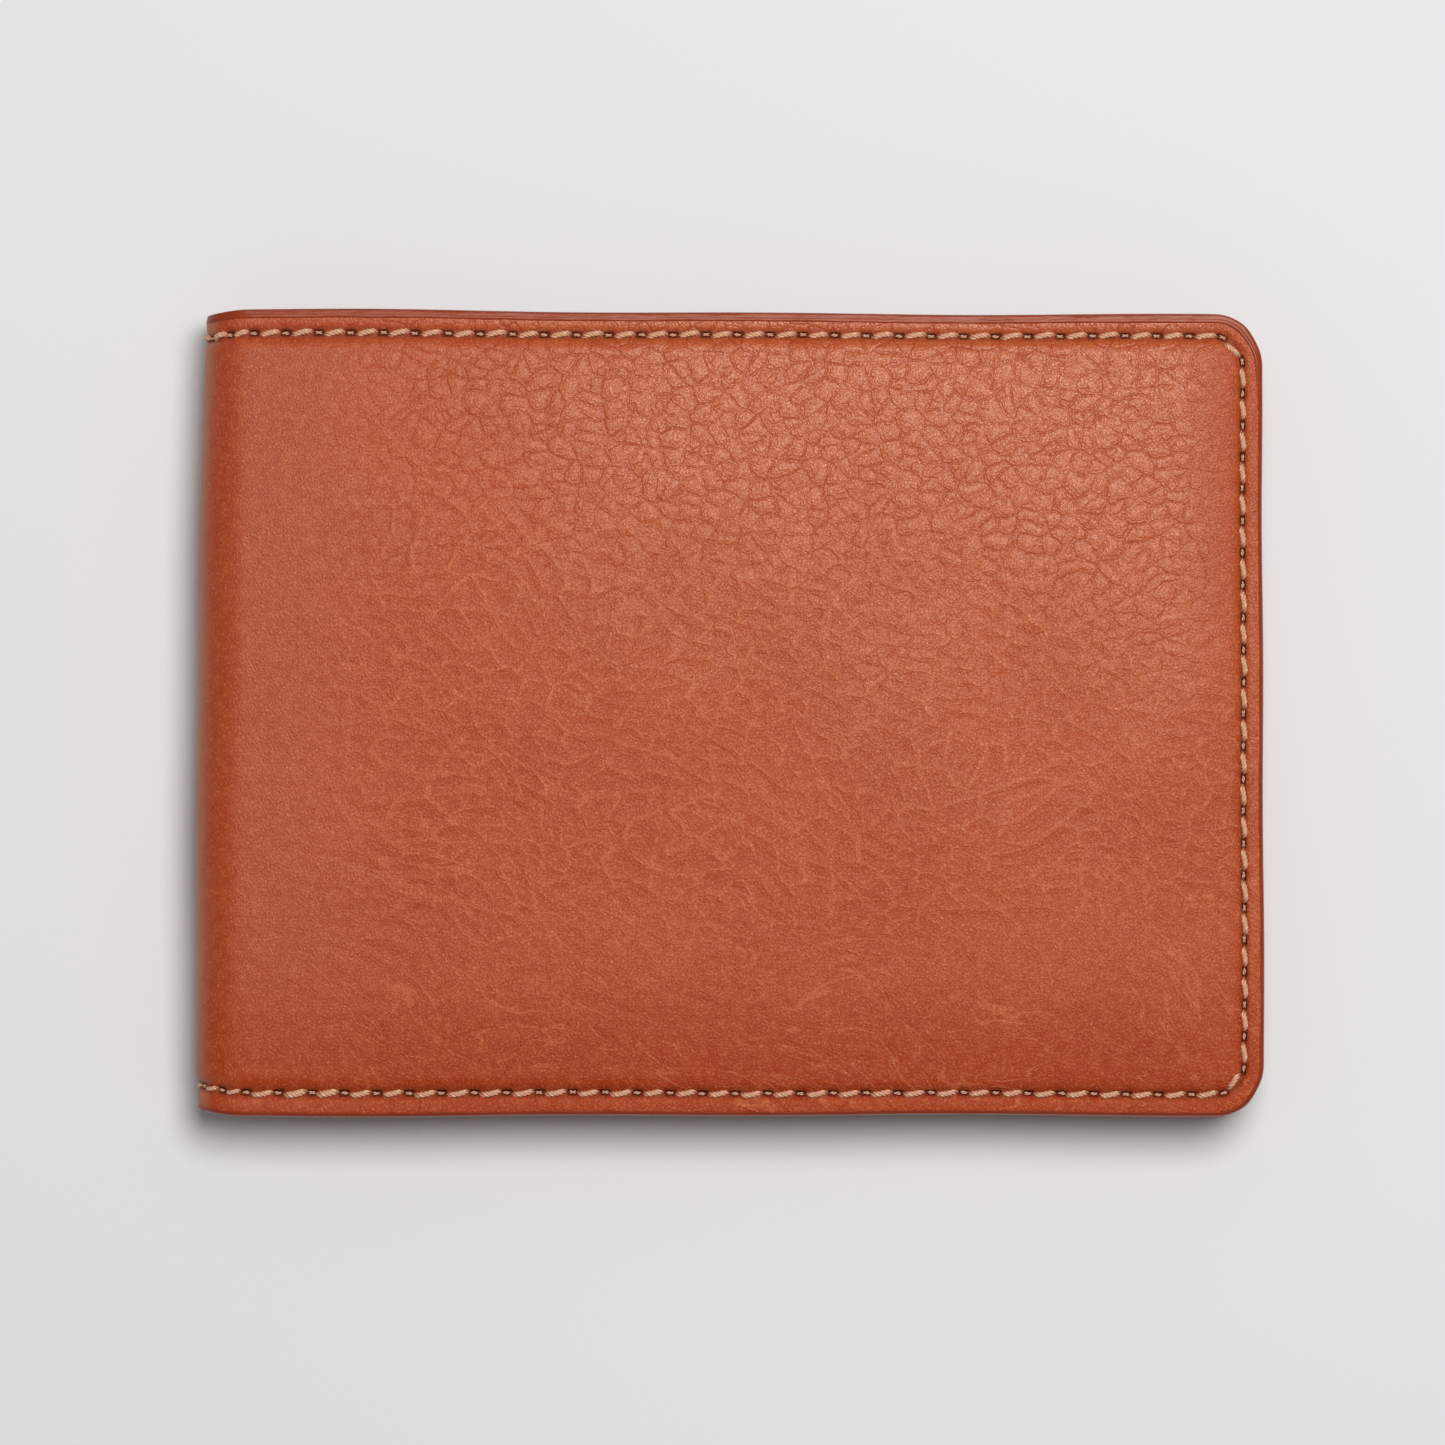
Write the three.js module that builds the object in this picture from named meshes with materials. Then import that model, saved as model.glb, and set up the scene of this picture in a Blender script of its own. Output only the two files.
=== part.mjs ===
// A bifold wallet, closed and empty, lying on its back cover.
// Millimetres. +X runs from the fold to the free edge, +Y to the mouth of the note compartment, +Z up.
// The origin is the middle of the bounding box's base.
//
// The shell is a leather cover over a foam pad and a fabric lining. It is sewn round its edge and bends
// twice at the fold. Inside it, a note wall and three card pockets are sewn to each half. The leather, the
// pad, the lining and the note wall each run on through the fold: here each is three rigid lengths that meet
// at the fold's two creases, so that the fold can open.
import * as THREE from "three";

// ---- Driving dimensions ----
const WIDTH = 110; // closed, fold to free edge
const HEIGHT = 82.5;
const THICKNESS = 13;
const CORNER_RADIUS = 5; // the four free corners
const FOLD_RADIUS = 5.2; // outside of each of the fold's two bends

const LEATHER = 1.1; // outer cover
const PAD = 0.9; // foam that raises the panel inside the seam
const LINING = 0.3;
const NOTE_WALL = 0.5;
const POCKET_LEATHER = 0.75;
const THREAD_RADIUS = 0.3; // seen outside
const BOBBIN_RADIUS = 0.2; // the finer thread on the inside
const PLY_GAP = 0.05; // between plies that lie on each other
const NOTE_ROOM = 0.5; // between the lining and the note wall

const RAISE = 1; // how far the padded panel stands above the sewn flange
const FLANGE = 2.8; // width of the flat flange
const RAMP = 2.6; // width of the slope up from it
const SEAM_INSET = 2.2; // edge to stitches
const FOLD_DIP = 1.2; // how far the edge draws in at the fold
const CREASE_GAP = 0.15; // half the gap between rigid lengths at a crease

const NOTE_WALL_TOP = 77.5; // heights above the bottom edge
const POCKET_MOUTHS = { top: 66, middle: 56, front: 46 };
const BAND = 17; // height of a T pocket's wide band
const CARD_DEPTH = 44; // mouth to the pocket's bottom
const STEM_MARGIN = 5; // the narrow stem's distance from the band's ends
const POCKET_END = 5.5; // the pockets stop this far from the fold

const BEND_STEPS = 3; // flats along half a bend, and along a thread's corner
const TURN_STEPS = 4;

// ---- Derived places ----
const RIGHT = WIDTH / 2;
const BOTTOM = -HEIGHT / 2;
const TOP = HEIGHT / 2;
const BEND_X = -RIGHT + FOLD_RADIUS; // where the flat panels end and the bends begin
const POCKET_LEFT = -RIGHT + POCKET_END;
const LINING_FACE = LEATHER + RAISE + PLY_GAP; // depths below the raised outer face
const NOTE_FACE = LINING_FACE + LINING + PLY_GAP;
const POCKET_FACE = NOTE_FACE + NOTE_ROOM + NOTE_WALL + PLY_GAP;
const POCKET_STEP = POCKET_LEATHER + PLY_GAP;
const CREASE = Math.PI / 4; // a bend's middle, measured from the flat panel
const CREASE_MARGIN = CREASE_GAP / FOLD_RADIUS;

const MATERIALS = {
  cover_leather: { color: 0xb5583a, roughness: 0.55 },
  inner_leather: { color: 0xb05434, roughness: 0.6 },
  lining_fabric: { color: 0x9b6a48, roughness: 0.85 },
  foam: { color: 0xd8d2c4, roughness: 0.95 },
  thread: { color: 0xd9a57c, roughness: 0.7 },
};

const wallet = new THREE.Group();

function add(parent, name, material, geometry) {
  const finish = new THREE.MeshStandardMaterial({ ...MATERIALS[material], metalness: 0 });
  const mesh = new THREE.Mesh(geometry, finish);
  mesh.name = name;
  parent.add(mesh);
}

const smooth = (t) => {
  const c = Math.min(1, Math.max(0, t));
  return c * c * (3 - 2 * c);
};

// ---- The outer face of one half, as stations from the crease to the free edge ----
// A station is a point on the raised outer face, its inward normal, and the half height of the shell there.

function bendStation(angle) {
  return {
    x: BEND_X - FOLD_RADIUS * Math.sin(angle),
    z: FOLD_RADIUS * (1 - Math.cos(angle)),
    normal: [Math.sin(angle), Math.cos(angle)],
    halfHeight: TOP - FOLD_DIP * Math.sin(angle) ** 2,
  };
}

function flatStation(x) {
  const past = Math.max(0, CORNER_RADIUS - (RIGHT - x));
  const drop = CORNER_RADIUS - Math.sqrt(CORNER_RADIUS ** 2 - past ** 2);
  return { x, z: 0, normal: [0, 1], halfHeight: TOP - drop };
}

// A station on the fold's back, a fraction of the way up between the two bends.
function backStation(part) {
  return {
    x: -RIGHT,
    z: FOLD_RADIUS + part * (THICKNESS - 2 * FOLD_RADIUS),
    normal: [1, 0],
    halfHeight: TOP - FOLD_DIP,
  };
}

function mirrored(station) {
  return { ...station, z: THICKNESS - station.z, normal: [station.normal[0], -station.normal[1]] };
}

function anglesBetween(from, to, steps) {
  return Array.from({ length: steps + 1 }, (_, i) => from + ((to - from) * i) / steps);
}

const RIM_INSETS = [0, 0.3, 0.9, 1.8]; // closer together where the corners are round
const EDGE_INSETS = [...RIM_INSETS, FLANGE, 3.7, 4.6, FLANGE + RAMP, 8];
const halfBend = anglesBetween(CREASE - CREASE_MARGIN, 0, BEND_STEPS); // from the crease to the panel
const panelStations = [
  ...halfBend.map(bendStation),
  ...[...EDGE_INSETS].reverse().map((inset) => flatStation(RIGHT - inset)),
];
// The fold, from the front half's crease down its back to the back half's.
const lowerBend = anglesBetween(Math.PI / 2, CREASE + CREASE_MARGIN, BEND_STEPS).map(bendStation);
const foldStations = [...lowerBend.map(mirrored).reverse(), backStation(0.5), ...lowerBend];

// How far inside the shell's free edge a point lies, with rounded corners at the free side.
function insetAt(station, y) {
  const beside = RIGHT - station.x;
  const above = station.x < BEND_X ? station.halfHeight - Math.abs(y) : TOP - Math.abs(y);
  if (beside > CORNER_RADIUS || above > CORNER_RADIUS) return Math.min(beside, above);
  return CORNER_RADIUS - Math.hypot(CORNER_RADIUS - beside, CORNER_RADIUS - above);
}

// Depth of the leather's outer face below the raised panel: RAISE at the flange, 0 on the panel.
const flangeDepth = (station, y) => RAISE * (1 - smooth((insetAt(station, y) - FLANGE) / RAMP));

// ---- Geometry builders ----

// A closed solid between two depths below the outer face. rows gives the y values at a station, and near and
// far the two depths at a station and a y.
function sheet(stations, rows, near, far) {
  const positions = [];
  const grid = [near, far].map((depth) =>
    stations.map((station) =>
      rows(station).map((y) => {
        const d = depth(station, y);
        positions.push(station.x + station.normal[0] * d, y, station.z + station.normal[1] * d);
        return positions.length / 3 - 1;
      }),
    ),
  );
  const index = [];
  const quad = (a, b, c, d) => index.push(a, b, c, a, c, d);
  const [outer, inner] = grid;
  const lastStation = stations.length - 1;
  const lastRow = outer[0].length - 1;
  for (let i = 0; i < lastStation; i++) {
    for (let j = 0; j < lastRow; j++) {
      quad(outer[i][j], outer[i][j + 1], outer[i + 1][j + 1], outer[i + 1][j]);
      quad(inner[i][j], inner[i + 1][j], inner[i + 1][j + 1], inner[i][j + 1]);
    }
    quad(outer[i][0], outer[i + 1][0], inner[i + 1][0], inner[i][0]);
    quad(outer[i][lastRow], inner[i][lastRow], inner[i + 1][lastRow], outer[i + 1][lastRow]);
  }
  for (let j = 0; j < lastRow; j++) {
    quad(outer[0][j], inner[0][j], inner[0][j + 1], outer[0][j + 1]);
    quad(outer[lastStation][j], outer[lastStation][j + 1], inner[lastStation][j + 1], inner[lastStation][j]);
  }
  return solid(positions, index);
}

function solid(positions, index) {
  const geometry = new THREE.BufferGeometry();
  geometry.setAttribute("position", new THREE.Float32BufferAttribute(positions, 3));
  geometry.setIndex(index);
  geometry.computeVertexNormals();
  return geometry;
}

// A round thread along places, each { point, normal }, where the normal is square to the thread.
function thread(places, radius) {
  const SIDES = 6;
  const at = places.map((place) => new THREE.Vector3(...place.point));
  const positions = [];
  at.forEach((centre, i) => {
    const along = new THREE.Vector3().subVectors(at[Math.min(i + 1, at.length - 1)], at[Math.max(i - 1, 0)]);
    const up = new THREE.Vector3(...places[i].normal);
    const across = new THREE.Vector3().crossVectors(up, along).normalize();
    up.crossVectors(along, across).normalize();
    for (let k = 0; k < SIDES; k++) {
      const angle = (2 * Math.PI * k) / SIDES;
      const rim = centre.clone().addScaledVector(across, radius * Math.cos(angle));
      positions.push(...rim.addScaledVector(up, radius * Math.sin(angle)).toArray());
    }
  });
  const index = [];
  const last = (at.length - 1) * SIDES;
  for (let k = 0; k < SIDES; k++) {
    const next = (k + 1) % SIDES;
    for (let base = 0; base < last; base += SIDES) {
      const [here, beside] = [base + k, base + next];
      index.push(here, beside + SIDES, here + SIDES, here, beside, beside + SIDES);
    }
    if (k > 0 && k < SIDES - 1) {
      index.push(0, k + 1, k, last, last + k, last + k + 1);
    }
  }
  return solid(positions, index);
}

// A flat ply of an outline, lying at a depth.
function ply(outline, depth, thickness) {
  const settings = { depth: thickness, bevelEnabled: false, curveSegments: 5 };
  return new THREE.ExtrudeGeometry(outline, settings).translate(0, 0, depth);
}

// ---- Plies ----

// y values across the whole shell, closer together over the flange and the slope.
function fullRows(station) {
  const half = station.halfHeight;
  const lower = EDGE_INSETS.map((inset) => inset - half);
  const upper = [...EDGE_INSETS].reverse().map((inset) => half - inset);
  return [...lower, ...upper];
}

function coverLeather(stations) {
  return sheet(stations, fullRows, flangeDepth, (s, y) => flangeDepth(s, y) + LEATHER);
}

const linerRows = (station) => [-station.halfHeight, station.halfHeight];

function coverLining(stations) {
  return sheet(stations, linerRows, () => LINING_FACE, () => LINING_FACE + LINING);
}

// The pad lies under the raised panel only.
const padRows = (station) => [-1, 1].map((side) => side * (station.halfHeight - FLANGE - RAMP));
const padDepth = () => LEATHER + PLY_GAP;

function coverPad(stations) {
  return sheet(stations, padRows, padDepth, () => padDepth() + PAD);
}

// The note wall lies on the lining where it is sewn, along the bottom, the free side and the fold, and
// stands off it by the note compartment's room between them.
const WALL_EASE = 4; // distance over which it lifts off
const noteWallTop = (station) => Math.min(BOTTOM + NOTE_WALL_TOP, station.halfHeight);
const WALL_INSETS = [FLANGE, FLANGE + WALL_EASE / 2, FLANGE + WALL_EASE];

function noteWallRows(station) {
  const lower = [0, ...WALL_INSETS].map((inset) => inset - station.halfHeight);
  return [...lower, noteWallTop(station)];
}

function noteWallDepth(station, y) {
  const fromFold = station.x - BEND_X;
  const fromSide = RIGHT - station.x;
  const fromBottom = y + station.halfHeight;
  const sewn = Math.min(fromSide, fromBottom);
  return NOTE_FACE + NOTE_ROOM * smooth((sewn - FLANGE) / WALL_EASE) * smooth(fromFold / WALL_EASE);
}

const noteWallStations = [
  ...halfBend.map(bendStation),
  ...[WALL_EASE / 2, WALL_EASE].map((step) => flatStation(BEND_X + step)),
  ...[...RIM_INSETS, ...WALL_INSETS].reverse().map((inset) => flatStation(RIGHT - inset)),
];

function noteWall(stations) {
  return sheet(stations, noteWallRows, noteWallDepth, (s, y) => noteWallDepth(s, y) + NOTE_WALL);
}

// ---- Card pockets ----

// The front pocket's panel reaches the bottom edge, with the shell's rounded corner at the free side.
function frontPocketOutline() {
  const mouth = BOTTOM + POCKET_MOUTHS.front;
  const outline = new THREE.Shape();
  outline.moveTo(POCKET_LEFT, BOTTOM);
  outline.lineTo(RIGHT - CORNER_RADIUS, BOTTOM);
  outline.absarc(RIGHT - CORNER_RADIUS, BOTTOM + CORNER_RADIUS, CORNER_RADIUS, -Math.PI / 2, 0, false);
  outline.lineTo(RIGHT, mouth);
  outline.lineTo(POCKET_LEFT, mouth);
  return outline;
}

// A T pocket is a wide band at the mouth, sewn at both ends, and a narrower stem down to the card's stop.
function teePocketOutline(mouthHeight) {
  const mouth = BOTTOM + mouthHeight;
  const band = mouth - BAND;
  const stop = mouth - CARD_DEPTH;
  const [stemLeft, stemRight] = [POCKET_LEFT + STEM_MARGIN, RIGHT - STEM_MARGIN];
  return new THREE.Shape(
    [
      [POCKET_LEFT, mouth],
      [POCKET_LEFT, band],
      [stemLeft, band],
      [stemLeft, stop],
      [stemRight, stop],
      [stemRight, band],
      [RIGHT, band],
      [RIGHT, mouth],
    ].map(([x, y]) => new THREE.Vector2(x, y)),
  );
}

// ---- Threads ----

// The seam's place at a station, at a depth below the outer face. side is 1 at the top and -1 at the bottom.
function seamPlace({ x, z, normal, halfHeight }, side, depth) {
  return {
    point: [x + normal[0] * depth, side * (halfHeight - SEAM_INSET), z + normal[1] * depth],
    normal: [normal[0], 0, normal[1]],
  };
}

// The seam outside one half: along the top from the crease, round the free side and back along the bottom.
function outerSeam() {
  const depth = RAISE - PLY_GAP - THREAD_RADIUS;
  const onBend = (side) => (angle) => seamPlace(bendStation(angle), side, depth);
  const radius = CORNER_RADIUS - SEAM_INSET;
  const corner = (side) => (angle) => ({
    point: [
      RIGHT - CORNER_RADIUS + radius * Math.cos(angle),
      side * (TOP - CORNER_RADIUS + radius * Math.sin(angle)),
      depth,
    ],
    normal: [0, 0, 1],
  });
  const turn = anglesBetween(Math.PI / 2, 0, TURN_STEPS);
  const top = [...halfBend.map(onBend(1)), ...turn.map(corner(1))];
  const bottom = [...halfBend.map(onBend(-1)), ...turn.map(corner(-1))];
  return thread([...top, ...bottom.reverse()], THREAD_RADIUS);
}

// A seam's run through the fold, at a depth below the outer face.
function foldSeam(side, depth, radius) {
  return thread(
    foldStations.map((station) => seamPlace(station, side, depth)),
    radius,
  );
}

// The bobbin thread of the top seam, on the lining inside the note compartment's mouth.
function topBobbin() {
  const depth = LINING_FACE + LINING + PLY_GAP + BOBBIN_RADIUS;
  const ends = [BEND_X, RIGHT - CORNER_RADIUS];
  return thread(
    ends.map((x) => ({ point: [x, TOP - SEAM_INSET, depth], normal: [0, 0, 1] })),
    BOBBIN_RADIUS,
  );
}

// Depths of the faces that an inner seam crosses on its way down: each mouth is one step.
const pocketTops = Object.values(POCKET_MOUTHS).map((mouth, i) => ({
  y: BOTTOM + mouth,
  depth: POCKET_FACE + i * POCKET_STEP + POCKET_LEATHER,
}));

// Points down a vertical seam at x, from the note wall's top to y, climbing each pocket's mouth.
function seamDown(x, y) {
  const lift = PLY_GAP + BOBBIN_RADIUS;
  const wall = POCKET_FACE - PLY_GAP;
  const SIDE_STEP = 0.5; // it starts to climb this far above a mouth
  const down = [[BOTTOM + NOTE_WALL_TOP - 0.6, wall]];
  let face = wall;
  for (const pocket of pocketTops) {
    down.push([pocket.y + 2 * SIDE_STEP, face], [pocket.y + SIDE_STEP, pocket.depth]);
    face = pocket.depth;
  }
  down.push([y, face]);
  return down.map(([at, depth]) => ({ point: [x, at, depth + lift], normal: [0, 0, 1] }));
}

// The inner seam of one half: down the free side, round the corner and along the bottom.
function innerSeam() {
  const radius = CORNER_RADIUS - SEAM_INSET;
  const cornerX = RIGHT - CORNER_RADIUS;
  const cornerY = BOTTOM + CORNER_RADIUS;
  const down = seamDown(cornerX + radius, cornerY);
  const depth = down[down.length - 1].point[2];
  const turn = anglesBetween(0, -Math.PI / 2, TURN_STEPS).slice(1);
  const round = turn.map((a) => ({
    point: [cornerX + radius * Math.cos(a), cornerY + radius * Math.sin(a), depth],
    normal: [0, 0, 1],
  }));
  const end = { point: [POCKET_LEFT + 0.5, BOTTOM + SEAM_INSET, depth], normal: [0, 0, 1] };
  return thread([...down, ...round, end], BOBBIN_RADIUS);
}

// The seam that closes the pockets beside the fold.
function foldSideSeam() {
  return thread(seamDown(POCKET_LEFT + SEAM_INSET, BOTTOM + 2 * SEAM_INSET), BOBBIN_RADIUS);
}

// ---- One half ----

function half(name) {
  const group = new THREE.Group();
  const piece = (part, material, geometry) => add(group, `${name}_${part}`, material, geometry);
  piece("cover_leather", "cover_leather", coverLeather(panelStations));
  piece("cover_pad", "foam", coverPad([BEND_X, RIGHT - FLANGE - RAMP].map(flatStation)));
  piece("cover_lining", "lining_fabric", coverLining(panelStations));
  piece("note_wall", "inner_leather", noteWall(noteWallStations));
  Object.entries(POCKET_MOUTHS).forEach(([slot, mouth], i) => {
    const outline = slot === "front" ? frontPocketOutline() : teePocketOutline(mouth);
    const depth = POCKET_FACE + i * POCKET_STEP;
    piece(`card_pocket_${slot}`, "inner_leather", ply(outline, depth, POCKET_LEATHER));
  });
  piece("outer_seam_thread", "thread", outerSeam());
  piece("top_seam_bobbin_thread", "thread", topBobbin());
  piece("inner_seam_thread", "thread", innerSeam());
  piece("pocket_seam_thread", "thread", foldSideSeam());
  return group;
}

wallet.add(half("back"));
const front = half("front");
front.scale.z = -1;
front.position.z = THICKNESS;
wallet.add(front);

// ---- The fold ----

add(wallet, "fold_cover_leather", "cover_leather", coverLeather(foldStations));
add(wallet, "fold_pad", "foam", coverPad(foldStations));
add(wallet, "fold_lining", "lining_fabric", coverLining(foldStations));
add(wallet, "fold_note_wall", "inner_leather", noteWall(foldStations));
const outerDepth = RAISE - PLY_GAP - THREAD_RADIUS;
add(wallet, "fold_top_seam_thread", "thread", foldSeam(1, outerDepth, THREAD_RADIUS));
add(wallet, "fold_bottom_seam_thread", "thread", foldSeam(-1, outerDepth, THREAD_RADIUS));
const liningDepth = LINING_FACE + LINING + PLY_GAP + BOBBIN_RADIUS;
add(wallet, "fold_top_bobbin_thread", "thread", foldSeam(1, liningDepth, BOBBIN_RADIUS));

export default wallet;
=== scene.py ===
import math

import bpy
import numpy as np
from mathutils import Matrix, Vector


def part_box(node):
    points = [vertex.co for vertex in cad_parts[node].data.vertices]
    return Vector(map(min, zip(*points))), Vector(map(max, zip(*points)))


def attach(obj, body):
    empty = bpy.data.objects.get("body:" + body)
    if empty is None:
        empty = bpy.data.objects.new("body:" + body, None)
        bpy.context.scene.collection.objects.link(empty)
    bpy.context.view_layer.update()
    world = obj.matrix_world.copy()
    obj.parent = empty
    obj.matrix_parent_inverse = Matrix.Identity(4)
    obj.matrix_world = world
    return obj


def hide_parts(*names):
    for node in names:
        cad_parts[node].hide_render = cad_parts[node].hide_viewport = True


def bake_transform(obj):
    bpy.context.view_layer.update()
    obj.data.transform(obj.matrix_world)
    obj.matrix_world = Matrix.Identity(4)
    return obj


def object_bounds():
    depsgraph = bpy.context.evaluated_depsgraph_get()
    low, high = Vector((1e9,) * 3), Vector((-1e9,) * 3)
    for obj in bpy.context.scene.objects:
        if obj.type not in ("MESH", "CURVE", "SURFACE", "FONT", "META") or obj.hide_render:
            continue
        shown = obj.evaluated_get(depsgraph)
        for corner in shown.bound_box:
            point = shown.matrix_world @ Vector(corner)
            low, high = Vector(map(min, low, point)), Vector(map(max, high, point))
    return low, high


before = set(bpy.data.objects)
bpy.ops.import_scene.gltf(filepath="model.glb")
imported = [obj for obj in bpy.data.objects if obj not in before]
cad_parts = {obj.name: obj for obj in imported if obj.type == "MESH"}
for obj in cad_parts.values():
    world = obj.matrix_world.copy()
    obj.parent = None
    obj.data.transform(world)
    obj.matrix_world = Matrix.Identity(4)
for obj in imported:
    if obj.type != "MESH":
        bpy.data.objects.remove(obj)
cad_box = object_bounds()

# The looks of a closed leather bifold wallet, built round its imported frame.
#
# Lengths are millimetres in the frame's axes, and a mesh is made in metres. Each half of the wallet is
# laid out in sheet coordinates: s runs along the leather from the middle of the fold's back to the free
# edge, y up the wallet, and d, the depth, inwards from the padded outer face. Each soft sheet that runs
# through the fold is two pieces that meet in the middle of the fold's back, so that each piece crosses
# one crease.

# ---- Sizes from the frame ----

MM = 0.001
HALVES = ("back", "front")


def box_mm(node):
    """The low and high corners of a node's box."""
    return [np.array(corner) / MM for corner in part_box(node)]


LOW, HIGH = (np.array(corner) / MM for corner in cad_box)
RIGHT, TOP, THICKNESS = HIGH
BOTTOM = LOW[1]
BEND_X = box_mm("back_cover_pad")[0][0]  # where the flat panel ends and the bend begins
FOLD_RADIUS = BEND_X - LOW[0]
LINING_FACE = box_mm("back_cover_lining")[0][2]
WALL_FACE = box_mm("back_note_wall")[0][2]
POCKET_FACE = box_mm("back_card_pocket_top")[0][2]
POCKET_LEATHER = np.ptp([corner[2] for corner in box_mm("back_card_pocket_top")])
WALL_TOP = box_mm("back_note_wall")[1][1]
POCKET_LEFT = box_mm("back_card_pocket_top")[0][0]

HALF_BACK = THICKNESS / 2 - FOLD_RADIUS  # the fold's flat back, from its middle to a bend
S_PANEL = HALF_BACK + FOLD_RADIUS * math.pi / 2
S_FREE = S_PANEL + RIGHT - BEND_X
X_TO_S = S_FREE - RIGHT  # on the flat panel, s is x plus this

# ---- Sizes of the looks ----

LEATHER = 1.1
LINING = 0.3
WALL = 0.5
CORNER_RADIUS = 5.0
FOLD_DIP = 0.4  # how far the edge draws in at the fold
SEAM_INSET = 2.1  # outer edge to stitches
PITCH = 3.32  # hole to hole
BEAD = 0.4  # how far the edge paint stands out past the cut leather
INNER_TRIM = BEAD + 0.1  # how far inside the outline the inner sheets are cut
QUICK_RISE, SLOW_RISE = 0.52, 0.80  # the padded panel's rise, beside the seam and over its slope
QUICK_RUN, SLOW_RUN = 1.6, 32.0
RAISE = QUICK_RISE + SLOW_RISE
SLOPE_GAP = 0.15  # from the seam to the foot of the slope
FOLD_STRETCH = 0.45  # share of the rise that the stretched leather loses round the fold
VALLEY, VALLEY_WIDTH = 0.22, 0.4  # the seam pulls the leather down
DOME, DOME_INSET, DOME_REACH = 0.12, 1.1, 0.95  # the flange's soft swelling outside the seam
HOLE_DEPTH = 0.24
MOUTH_LINE = 1.5  # from a mouth to its creased line
OUTER_THREAD, LOCK_THREAD, INNER_THREAD = 0.32, 0.18, 0.24  # radii


def ease(t):
    """0 below 0, 1 above 1, smooth between."""
    t = np.clip(t, 0, 1)
    return t * t * (3 - 2 * t)


# ---- Smooth random fields ----


def lattice(ix, iy, seed):
    """A repeatable number from 0 to 1 for each whole-numbered point. The large numbers only mix the bits."""
    h = ix.astype(np.int64) * 374761393 + iy.astype(np.int64) * 668265263 + seed * 2147483647
    h = h & 0xFFFFFFFF
    h = ((h ^ (h >> 13)) * 1274126177) & 0xFFFFFFFF
    return ((h ^ (h >> 16)) & 0xFFFF) / 65535.0


def noise(x, y, seed):
    """Smooth noise from -1 to 1 with features about 1 wide."""
    x, y = np.broadcast_arrays(np.asarray(x, float), np.asarray(y, float))
    ix, iy = np.floor(x), np.floor(y)
    fx, fy = ease(x - ix), ease(y - iy)
    low = lattice(ix, iy, seed) * (1 - fx) + lattice(ix + 1, iy, seed) * fx
    high = lattice(ix, iy + 1, seed) * (1 - fx) + lattice(ix + 1, iy + 1, seed) * fx
    return 2 * (low * (1 - fy) + high * fy) - 1


# ---- The shell's shape ----


def bend_angle(s):
    """0 on the flat panel, a quarter turn on the fold's back."""
    return np.clip((S_PANEL - s) / FOLD_RADIUS, 0, math.pi / 2)


def settle(half, x, y):
    """The small ways in which the sewn shell is off square."""
    across, up = x / RIGHT, y / TOP
    skew = 0.27 * across - 0.12 + up * (0.15 - 0.30 * across)
    side_wave = 0.05 * np.sin(0.21 * y + 0.5) * np.abs(across) ** 6
    long_wave = 0.09 * np.sin(0.15 * x + 1.0) * up * np.abs(up) ** 5
    top_flange = (0.35 + 0.3 * ease((10 - x) / 50)) * ease((y - TOP + 2.8) / 1.8)
    low_flange = (0.35 + 0.3 * ease((20 - x) / 60)) * ease((-y - TOP + 2.8) / 1.8)
    dx = skew + side_wave
    dy = -0.15 * across + long_wave
    dy = dy - 0.25 * ease((y - 20) / 15) + top_flange
    dy = dy - low_flange
    if half == "back":  # its free corner at the bottom hangs out a little
        dy = dy - 0.5 * ease((across + 0.3) / 1.2) * np.clip((0.2 - up) / 1.2, 0, 1) ** 2
    return x + dx, y + dy


def place(half, s, y, d):
    """Points in the row frame, in millimetres, of sheet coordinates."""
    s, y, d = np.broadcast_arrays(s, y, d)
    angle = bend_angle(s)
    x = BEND_X - (FOLD_RADIUS - d) * np.sin(angle) + np.maximum(s - S_PANEL, 0)
    z = FOLD_RADIUS - (FOLD_RADIUS - d) * np.cos(angle) + np.maximum(HALF_BACK - s, 0)
    x, y = settle(half, x, y)
    return np.stack([x, y, THICKNESS - z if half == "front" else z], -1)


def outward(half, s):
    """The shell's outward normal."""
    angle = bend_angle(s)
    up = np.cos(angle) * (1 if half == "front" else -1)
    return np.stack([-np.sin(angle), np.zeros_like(angle), up], -1)


def fold_dip(s):
    """How far the edge draws in where the leather bends."""
    return FOLD_DIP * np.sin(bend_angle(s)) ** 2


def half_height(s, trim=0.0):
    """Half the sheet's height at s, when it is cut trim inside the shell's outline."""
    radius = CORNER_RADIUS - trim
    past = np.clip(radius - (S_FREE - trim - s), 0, radius)
    return TOP - trim - fold_dip(s) - (radius - np.sqrt(radius**2 - past**2))


def inset(s, y):
    """How far inside the shell's outline a point is."""
    beside = S_FREE - s
    above = TOP - fold_dip(s) - np.abs(y)
    rounded = CORNER_RADIUS - np.hypot(CORNER_RADIUS - beside, CORNER_RADIUS - above)
    in_corner = (beside < CORNER_RADIUS) & (above < CORNER_RADIUS)
    return np.where(in_corner, rounded, np.minimum(beside, above))


def cover_depth(s, y):
    """Depth of the leather's outer face without its grain: flange, seam valley and padded panel."""
    t = inset(s, y)
    foot = t - SEAM_INSET - SLOPE_GAP
    quick = QUICK_RISE * (1 - (1 - np.clip(foot / QUICK_RUN, 0, 1)) ** 2)
    slow = SLOW_RISE * (1 - (1 - np.clip(foot / SLOW_RUN, 0, 1)) ** 2.6)
    valley = VALLEY * np.exp(-(((t - SEAM_INSET) / VALLEY_WIDTH) ** 2))
    dome = DOME * np.clip(1 - ((t - DOME_INSET) / DOME_REACH) ** 2, 0, 1)
    stretched = 1 - FOLD_STRETCH * np.sin(bend_angle(s)) ** 2
    return (RAISE - quick - slow) * stretched + valley - dome


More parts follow.
